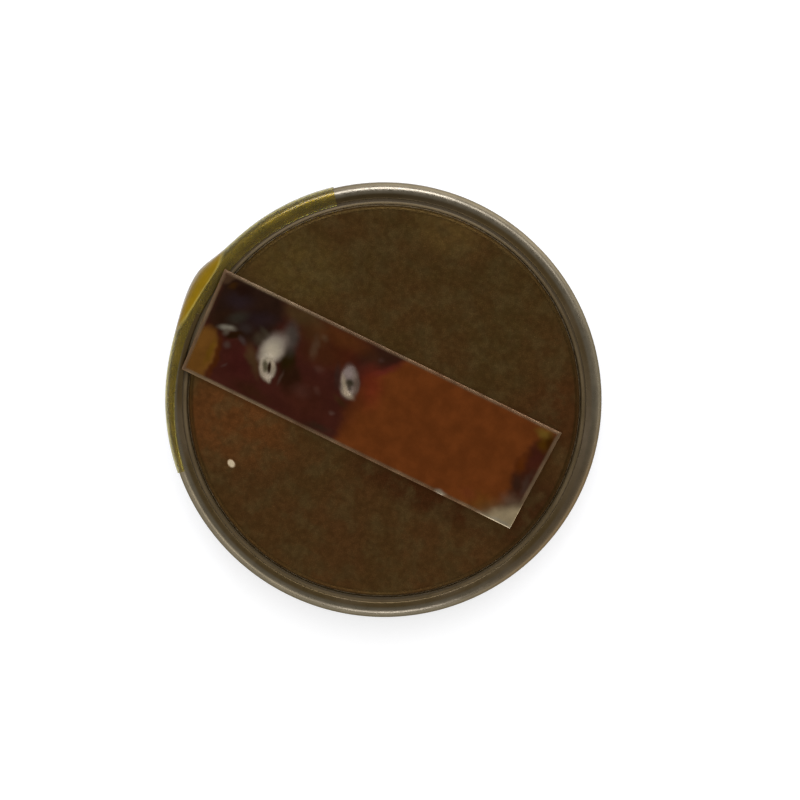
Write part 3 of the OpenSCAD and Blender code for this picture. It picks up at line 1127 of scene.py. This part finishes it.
    # Weld marks, with painted highlights and painted shade in their dimples
    weld_marks_and_highlights: tuple[Patch, ...] = (
        # First weld, faint, with a painted highlight and painted shade in its dimple
        Patch(-7.7, 0.5, 0.42, 0.24, (0.1, 0.08, 0.055), turn=40, soft=0.8, share=0.9),
        Patch(-7.2, 0.22, 0.3, 0.2, (0.09, 0.062, 0.054), turn=10, soft=0.8, share=0.8),
        Patch(-7.48, -0.28, 0.38, 0.17, UMBER, turn=40, soft=0.5),
        Patch(-7.95, -0.12, 0.33, 0.13, (0.44, 0.38, 0.27), turn=16, soft=0.8, melted=0.8),
        Patch(-7.88, -0.3, 0.12, 0.16, (0.34, 0.27, 0.19), soft=0.9, share=0.8),
        Patch(-7.06, -0.31, 0.2, 0.1, (0.18, 0.115, 0.1), turn=-30, soft=0.9, share=0.9),
        Patch(-7.6, -0.83, 0.15, 0.13, (0.22, 0.125, 0.095), soft=0.9, share=0.9),
        # Middle weld: a haze, a smeared blob and a ring that is drawn out to one side; the blob's
        # silver and the ring's pale side are painted highlights and its dark slit painted shade
        Patch(-5.1, 0.74, 0.7, 0.34, HAZE, turn=-69, soft=0.6, share=0.85, melted=0.5),
        Patch(-6.28, 0.47, 0.28, 0.11, (0.17, 0.13, 0.08), turn=-25, soft=0.8, share=0.6),
        Patch(-6.35, 0.1, 0.28, 0.3, (0.2, 0.15, 0.09), soft=0.8, share=0.6),
        Patch(-5.63, -0.03, 0.78, 0.53, PEWTER, turn=78, soft=0.4, melted=0.9),
        Patch(-5.47, -0.98, 0.57, 0.38, (0.6, 0.48, 0.33), turn=-62, soft=0.2, melted=0.9),
        Patch(-5.17, -1.4, 0.17, 0.11, (0.6, 0.48, 0.33), turn=-60, soft=0.6, melted=0.9),
        Patch(-5.66, -0.2, 0.56, 0.42, SILVER, turn=75, soft=0.6, melted=1),
        Patch(-5.6, -0.93, 0.26, 0.11, (0.21, 0.175, 0.09), turn=-64, soft=0.6, share=0.9),
        Patch(-5.41, -0.93, 0.27, 0.075, UMBER, turn=-70, soft=0.5),
        Patch(-4.74, -1.1, 0.3, 0.06, (0.22, 0.13, 0.09), turn=-85, soft=0.8, share=0.6),
        # Last weld: an oval with a painted highlight along its lower left side
        Patch(-2.42, 0.08, 0.5, 0.14, (0.12, 0.055, 0.04), turn=-66, soft=0.7, share=0.8),
        Patch(-1.8, -0.88, 0.34, 0.13, (0.13, 0.06, 0.018), turn=-20, soft=0.8, share=0.7),
        Patch(-1.8, 0.08, 0.72, 0.43, (0.34, 0.25, 0.19), WELD_TURN, soft=0.25, melted=0.8),
        Patch(-1.47, 0.1, 0.42, 0.12, (0.26, 0.17, 0.12), WELD_TURN, soft=0.8, melted=0.7),
        Patch(-2.02, 0.42, 0.34, 0.24, (0.42, 0.32, 0.27), WELD_TURN, soft=0.8, melted=0.9),
        Patch(-1.95, -0.12, 0.4, 0.11, (0.64, 0.5, 0.33), turn=-52, soft=0.8, melted=1),
        Patch(-1.64, -0.43, 0.3, 0.13, (0.64, 0.5, 0.33), turn=-22, soft=0.8, melted=1),
        Patch(-1.73, -0.1, 0.26, 0.08, (0.2, 0.145, 0.1), turn=-50, soft=0.9, share=0.8),
        Patch(-1.79, 0.08, 0.17, 0.12, (0.13, 0.1, 0.06), soft=0.8))
    # Drawn last, over the cut edges too: the painted highlight on the bent corner and a small nick
    gleams: tuple[Patch, ...] = (
        Patch(7.85, -2.85, 2.0, 1.35, (0.27, 0.18, 0.1), turn=31, soft=0.4, share=0.8),
        Patch(7.8, -2.82, 1.8, 1.04, (0.92, 0.71, 0.41), turn=30, soft=0.3, share=0.95),
        Patch(7.2, -2.72, 0.9, 0.14, SILVER, turn=0, soft=0.6, share=0.8),
        Patch(4.12, -2.62, 0.2, 0.12, SILVER, soft=0.8, share=0.7))

    def middle_height(self, x: np.ndarray) -> np.ndarray:
        """Height of the middle of the sheet at a place along it.

        It is flat as far as the bend, then runs on the bend's circle, and then straight up at
        the lift angle.

        Args:
            x: Places along the strip.

        Returns:
            The height at each place.
        """
        angle = math.radians(self.lift_angle)
        past = np.maximum(x - (self.start + self.length - self.lift), 0)
        bent = self.bend_r * math.sin(angle)
        on_arc = self.bend_r - np.sqrt(self.bend_r ** 2 - np.minimum(past, bent) ** 2)
        return self.top + self.thickness / 2 + on_arc + np.maximum(past - bent, 0) * math.tan(angle)

    def wander(self, x: np.ndarray, y: np.ndarray,
               reach: float) -> tuple[np.ndarray, np.ndarray]:
        """Moves places by a few sine waves, so that the patches get uneven edges.

        Args:
            x: Places along the strip.
            y: Places across the strip.
            reach: How far they move at most, nearly.

        Returns:
            The moved places.
        """
        dx = 0.55 * np.sin(3.1 * y + 1.2 * x) + 0.3 * np.sin(7.3 * y - 2.1 * x + 1)
        dx += 0.2 * np.sin(17 * y + 5 * x)
        dy = 0.5 * np.sin(2.7 * x - 1.3 * y) + 0.3 * np.sin(6.1 * x + 3.3 * y + 2)
        dy += 0.2 * np.sin(15 * x - 7 * y + 1)
        return x + reach * dx, y + reach * dy

    def edge_highlight(self, x: np.ndarray, y: np.ndarray) -> np.ndarray:
        """Painted highlight of the cut edge, brown to tan in slow waves and paler at the first end.

        Args:
            x: Places along the strip.
            y: Places across the strip.

        Returns:
            Linear colours, each followed by 1 for melted metal.
        """
        paler = 0.6 * smooth_step(-3.2, -5.2, x) * smooth_step(-8.9, -8.6, x)
        waves = 0.35 + 0.35 * np.sin(1.9 * x + 0.8 * y) * np.cos(3.7 * x - 1.1 * y + 2)
        share = np.clip(paler + waves, 0, 1)[..., None]
        tint = np.array(BROWN) * (1 - share) + np.array(TAN) * share
        return np.concatenate([tint, np.ones((*x.shape, 1))], axis=-1)

    def tints(self, x: np.ndarray, y: np.ndarray, inset: np.ndarray) -> np.ndarray:
        """Colour of each place: bronze, the patches in order, the cut edges, the gleams.

        Args:
            x: Places along the strip.
            y: Places across the strip.
            inset: Distance from the nearest edge.

        Returns:
            Linear colours, and how far the metal there has melted.
        """
        colour = np.broadcast_to(np.array((*BRONZE, 0.0)), (*x.shape, 4)).copy()

        def lay(patches: tuple[Patch, ...], reach: float) -> None:
            """Lays some patches over what is there.

            Args:
                patches: The patches in order.
                reach: How far their edges wander.
            """
            moved = self.wander(x, y, reach)
            for patch in patches:
                cover = patch.cover(*moved)[..., None]
                colour[:] += cover * (np.array((*patch.colour, patch.melted)) - colour)

        lay(self.heat_and_reflections, self.heat_reach)
        lay(self.scuffs, self.scuff_reach)
        lay(self.weld_marks_and_highlights, self.melt_reach)
        # Painted highlight on the rounded cut edges
        cut = 1 - smooth_step(self.edge * 0.6, self.edge * 1.4, inset)[..., None]
        colour += self.edge_share * cut * (self.edge_highlight(x, y) - colour)
        lay(self.gleams, self.scuff_reach)
        return colour

    def build(self) -> None:
        """Makes the strip as two sheets over one grid, joined round their edges.

        A place is (x, y) on the strip's plan. The sheets lie half a thickness h above and
        below the middle height, and h follows a quarter of an ellipse down to the cut edge
        over the width of the rounded edge.
        """
        u = self.packed_steps(self.columns, self.length)
        v = self.packed_steps(self.rows, self.width)
        y = (self.middle - self.width / 2 + v)[None, :]
        lean = math.tan(math.radians(self.snip)) * (y - self.middle)
        share = (u / self.length)[:, None]
        x = (self.start - lean) * (1 - share) + (self.start + self.length + lean) * share
        y = np.broadcast_to(y, x.shape)
        from_ends = np.minimum(u, self.length - u)[:, None]
        from_sides = np.minimum(v, self.width - v)[None, :]
        inset = np.minimum(np.broadcast_to(from_ends, x.shape), from_sides)
        near = np.clip(1 - inset / self.edge, 0, 1)
        half = self.side + (self.thickness / 2 - self.side) * np.sqrt(1 - near ** 2)
        middle = self.middle_height(x)
        marks = sum(crater.height(x, y) for crater in self.craters)
        marks += self.smear_height * self.smear.cover(x, y)
        marks *= smooth_step(0, self.marks_inset, inset)
        top = np.stack([x, y, middle + half + marks], axis=-1)
        bottom = np.stack([x, y, middle - half], axis=-1)
        points, faces = slab(top, bottom)
        strip = put_mesh("nickel_strip", points, faces, 60)
        store_tint(strip, self.tints(x, y, inset))
        add_piece(strip, "connection_strip", TintedNickel().build())

    def packed_steps(self, count: int, length: float) -> np.ndarray:
        """Places from 0 to length, with a fine step over the rounded edge at each end.

        Args:
            count: Number of places between the rounded edges, with the edges' own.
            length: Last place.

        Returns:
            The places in order.
        """
        fine = self.edge * (1 - np.cos(np.linspace(0, math.pi / 2, 7)))
        coarse = np.linspace(self.edge, length - self.edge, count)[1:-1]
        return np.concatenate([fine, coarse, length - fine[::-1]])


@dataclass
class RimTape:
    """Film of tape folded over the rim, with one loose fold."""

    shells: CellShells
    thickness: float = 0.06
    gap: float = 0.01
    span: float = 96
    middle: float = 177.4
    over_first: float = 50
    short_last: float = 25
    low: float = 0.8
    fold: float = 0.33
    fold_angle: float = 172
    rise: float = 6.5
    fall: float = 11.5
    crest: float = 80
    over: float = 0.25
    steps: int = 256
    rim_steps: int = 26
    side_steps: int = 26
    thin: Colour = (0.78, 0.66, 0.14)
    dense: Colour = (0.265, 0.158, 0.0035)
    # Distances off the can over which the film looks dense
    lifted: Span = (0.012, 0.05)
    # Radii over which it darkens down the side with painted shade, and by what share
    side_edge: Span = (9.82, 9.97)
    side_dark: float = 0.3

    def sheet(self, off: float) -> tuple[np.ndarray, np.ndarray]:
        """Points of one face of the film, at the distance off from the rim.

        At the angle a round the rim, the film starts where the rim faces f0, which falls
        evenly from its first end to its last, because the tape lies askew. It runs round the
        nose and the roll of the rim to f = 0, and then down the side. It stands off by
        fold sin(pi d) exp(-((a - fold angle) / spread)^2), d being the share of the way from
        the crest down to the lower edge.

        Args:
            off: Distance of the face from the rim.

        Returns:
            Points as steps round the rim by steps of the path by 3, and how far each stands off.
        """
        shells = self.shells
        share = np.linspace(0, 1, self.steps + 1)[:, None]
        turn = self.middle + self.span * (share - 0.5)
        first = 90 + self.over_first * (1 - share) - self.short_last * share
        facing = first * (1 - np.linspace(0, 1, self.rim_steps + 1)[None, :])
        on_nose = (facing > shells.end)[..., None]
        centre = np.where(on_nose, shells.nose_c, shells.roll_c)
        spread = np.where(turn < self.fold_angle, self.rise, self.fall)
        fold = self.fold * np.exp(-((turn - self.fold_angle) / spread) ** 2)
        over = self.over * np.maximum(0, 1 - facing / self.crest)
        down = np.linspace(0, 1, self.side_steps + 1)[None, 1:]
        run = np.hstack([over, self.over + (1 - self.over) * down + 0 * turn])
        stand = fold * np.sin(math.pi * run)
        f = np.radians(facing)
        reach = np.where(on_nose, shells.can_t / 2, shells.roll_r) + off
        reach = reach + stand[:, :facing.shape[1], None]
        rim = centre + reach * np.stack([np.cos(f), np.sin(f)], axis=-1)
        side_r = shells.radius + off + stand[:, facing.shape[1]:]
        side_z = shells.roll_c[1] + (self.low - shells.roll_c[1]) * down + 0 * turn
        r = np.hstack([rim[..., 0], side_r])
        z = np.hstack([rim[..., 1], side_z])
        a = np.radians(turn)
        return np.stack([r * np.cos(a), r * np.sin(a), z], axis=-1), stand

    def tints(self, points: np.ndarray, stand: np.ndarray) -> np.ndarray:
        """Colour of the film, denser the further it stands off the can, and darker down the side
        with painted shade.

        Args:
            points: Points of the outer face.
            stand: How far each stands off the can.

        Returns:
            Linear colours, and how dense the film looks there.
        """
        dense = smooth_step(*self.lifted, stand)[..., None]
        radius = np.hypot(points[..., 0], points[..., 1])
        side = smooth_step(*self.side_edge, radius)[..., None]
        thin = np.array(self.thin) * (1 - self.side_dark * side)
        colour = thin * (1 - dense) + np.array(self.dense) * dense
        return np.concatenate([colour, dense], axis=-1)

    def build(self) -> None:
        """Makes the film as two faces joined round their edges."""
        outer, stand = self.sheet(self.gap + self.thickness)
        inner, _ = self.sheet(self.gap)
        # The grid turns the other way here, so the inner face comes first
        points, faces = slab(inner, outer)
        tape = put_mesh("rim_tape", points, faces, 50)
        store_tint(tape, self.tints(outer, stand))
        add_piece(tape, "insulating_tape", AmberFilm().build())


def add_piece(piece: bpy.types.Object, node: str,
              material: bpy.types.Material) -> None:
    """Dresses a piece, and puts it in place of its node on the cell's one body.

    Args:
        piece: The finished mesh.
        node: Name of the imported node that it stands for.
        material: Its material.
    """
    piece.data.materials.append(material)
    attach(piece, BODY)
    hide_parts(node)
    LOG.info("%s stands for %s, %d faces", piece.name, node, len(piece.data.polygons))


@dataclass
class InnerStack:
    """The sealed pieces between the can and the cap, which keep their solids."""

    nodes: dict[str, bpy.types.Object]
    finishes: dict[str, PlainFinish] = field(default_factory=lambda: {
        "lithium_disc": PlainFinish("dull_lithium", (0.62, 0.62, 0.6), (0.45, 0.45, 0.44),
                                    1.0, 0.5, 0.4),
        "separator": PlainFinish("fleece", (0.86, 0.86, 0.82), (0.72, 0.72, 0.68),
                                 grain_mm=0.08),
        "cathode_pellet": PlainFinish("pressed_powder", (0.03, 0.03, 0.03),
                                      (0.07, 0.065, 0.06), roughness=0.9),
        "cathode_ring": PlainFinish("ring_steel", (0.55, 0.54, 0.5), (0.42, 0.41, 0.38),
                                    1.0, 0.35, 0.3)})

    def dress(self) -> None:
        """Gives each sealed node its own finish."""
        for name, finish in self.finishes.items():
            slots = self.nodes[name].material_slots
            material = finish.build()
            if not slots:
                self.nodes[name].data.materials.append(material)
            for slot in slots:
                slot.material = material
            LOG.info("%s keeps its solid and takes %s", name, finish.name)


def picture_axes() -> tuple[Vector, Vector]:
    """Directions in the object's frame that run right and up in the picture.

    Returns:
        The direction to the right and the one upwards.
    """
    turn = math.radians(STRIP_TURN)
    return (Vector((math.cos(turn), math.sin(turn), 0)),
            Vector((-math.sin(turn), math.cos(turn), 0)))


@dataclass
class PictureCamera:
    """Camera that looks almost straight down on the cap."""

    distance: float = 250
    tilt: float = 3
    target_z: float = 2.6
    # Half a picture is 400 pixels, and a millimetre on the cell is 21.75 of them
    pixels: float = 800
    pixels_per_mm: float = 21.75
    # Where the middle of the cell lies in the picture
    cell_px: tuple[float, float] = (384.1, 400.3)
    sensor: float = 36

    def build(self) -> None:
        """Makes the camera and sets it as the scene's own."""
        right, up = picture_axes()
        tilt = math.radians(self.tilt)
        back = up * math.sin(tilt) + Vector((0, 0, math.cos(tilt)))
        head = up * math.cos(tilt) - Vector((0, 0, math.sin(tilt)))
        half = self.pixels / 2
        aim = (Vector((0, 0, self.target_z))
               + right * ((half - self.cell_px[0]) / self.pixels_per_mm)
               - head * ((half - self.cell_px[1]) / self.pixels_per_mm))
        data = bpy.data.cameras.new("picture_camera")
        data.sensor_width = self.sensor
        data.lens = self.sensor * self.distance * self.pixels_per_mm / self.pixels
        data.clip_start = 0.01
        camera = put_object("picture_camera", data)
        facing = Matrix((right, head, back)).transposed().to_4x4()
        camera.matrix_world = Matrix.Translation((aim + back * self.distance) * MM) @ facing
        bpy.context.scene.camera = camera
        LOG.info("camera at %.0f mm, lens %.1f mm", self.distance, data.lens)


@dataclass(frozen=True)
class SoftBox:
    """One rectangular lamp that faces the cell."""

    name: str
    # Direction in the picture: 0 is right and 90 is up, and then the height above the floor
    bearing: float
    elevation: float
    wide: float
    tall: float
    radiance: float
    in_reflections: bool = True
    tone: Colour = (1, 1, 1)
    distance: float = 500

    def build(self) -> None:
        """Makes the lamp. Its power gives the wanted radiance over its area."""
        right, up = picture_axes()
        bearing, elevation = math.radians(self.bearing), math.radians(self.elevation)
        out = (right * math.cos(bearing) + up * math.sin(bearing)) * math.cos(elevation)
        out += Vector((0, 0, math.sin(elevation)))
        data = bpy.data.lights.new(self.name, "AREA")
        data.shape = "RECTANGLE"
        data.size, data.size_y = self.wide * MM, self.tall * MM
        data.color = self.tone
        data.energy = self.radiance * math.pi * data.size * data.size_y
        lamp = put_object(self.name, data)
        lamp.matrix_world = (Matrix.Translation(out * self.distance * MM)
                             @ out.to_track_quat("Z", "Y").to_matrix().to_4x4())
        lamp.visible_glossy = self.in_reflections
        lamp.visible_transmission = self.in_reflections
        lamp.visible_camera = False


@dataclass
class Studio:
    """Pale floor, soft sky and lamps."""

    floor_r: float = 3000
    # The floor is open below the flat base, which would lie in the same plane
    hole_r: float = 9.35
    floor_sides: int = 96
    # Brightness of the sky by the height of its direction, from straight up to the floor
    sky: tuple[tuple[float, float], ...] = (
        (0.0, 0.95), (0.1, 0.8), (0.18, 0.4), (0.62, 0.3), (0.86, 0.24), (1.0, 0.24))
    lamps: tuple[SoftBox, ...] = (
        SoftBox("crest_light", 95, 34, 370, 125, 5.9, tone=(0.92, 1, 1.25)),
        SoftBox("crest_wings", 62, 34, 560, 130, 1.6, tone=(0.95, 1, 1.15)),
        SoftBox("lower_light", 271, 33, 170, 120, 3.7, tone=(0.95, 1, 1.2)),
        SoftBox("left_light", 226, 30, 420, 130, 1.1),
        SoftBox("top_light", 90, 70, 500, 500, 2.6, in_reflections=False))

    def build(self) -> None:
        """Makes the floor, the sky and the lamps."""
        angle = np.arange(self.floor_sides) * 2 * math.pi / self.floor_sides
        loop = np.stack([np.cos(angle), np.sin(angle), 0 * angle], axis=1)
        outside = np.arange(self.floor_sides)
        inside = outside + self.floor_sides
        faces = np.stack([outside, np.roll(outside, -1), np.roll(inside, -1), inside], axis=1)
        floor = put_mesh("floor", np.concatenate([self.floor_r * loop, self.hole_r * loop]),
                         faces.tolist())
        floor.data.materials.append(PaleGround().build())
        for lamp in self.lamps:
            lamp.build()
        self.build_sky()

    def build_sky(self) -> None:
        """Makes the sky: its brightness is a ramp of the height of the direction.

        The camera itself sees it white.
        """
        world = bpy.data.worlds.new("soft_sky")
        world.use_nodes = True
        bpy.context.scene.world = world
        nodes, links = world.node_tree.nodes, world.node_tree.links
        split = nodes.new("ShaderNodeSeparateXYZ")
        ramp = nodes.new("ShaderNodeValToRGB")
        while len(ramp.color_ramp.elements) < len(self.sky):
            ramp.color_ramp.elements.new(0.5)
        for stop, (height, level) in zip(ramp.color_ramp.elements, self.sky):
            stop.position = height
            stop.color = (level, level, level, 1)
        links.new(nodes.new("ShaderNodeTexCoord").outputs["Generated"], split.inputs[0])
        links.new(split.outputs["Z"], ramp.inputs["Fac"])
        whiten = nodes.new("ShaderNodeMix")
        whiten.data_type = "RGBA"
        whiten.inputs["B"].default_value = (1, 1, 1, 1)
        path = nodes.new("ShaderNodeLightPath")
        links.new(path.outputs["Is Camera Ray"], whiten.inputs["Factor"])
        links.new(ramp.outputs["Color"], whiten.inputs["A"])
        links.new(whiten.outputs["Result"], nodes["Background"].inputs["Color"])


def main() -> None:
    """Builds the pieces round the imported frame, then the studio and the camera."""
    logging.basicConfig(level=logging.INFO, format="%(message)s")
    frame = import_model()
    bpy.context.scene.view_settings.view_transform = "Standard"
    PictureCamera().build()
    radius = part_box("positive_can")[1].x / MM
    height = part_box("negative_cap")[1].z / MM
    shells = CellShells(radius=round(radius, 2), height=round(height, 3))
    shells.build()
    ConnectionStrip(top=shells.height).build()
    RimTape(shells).build()
    InnerStack(frame["nodes"]).dress()
    Studio().build()


if __name__ == "__main__":
    main()
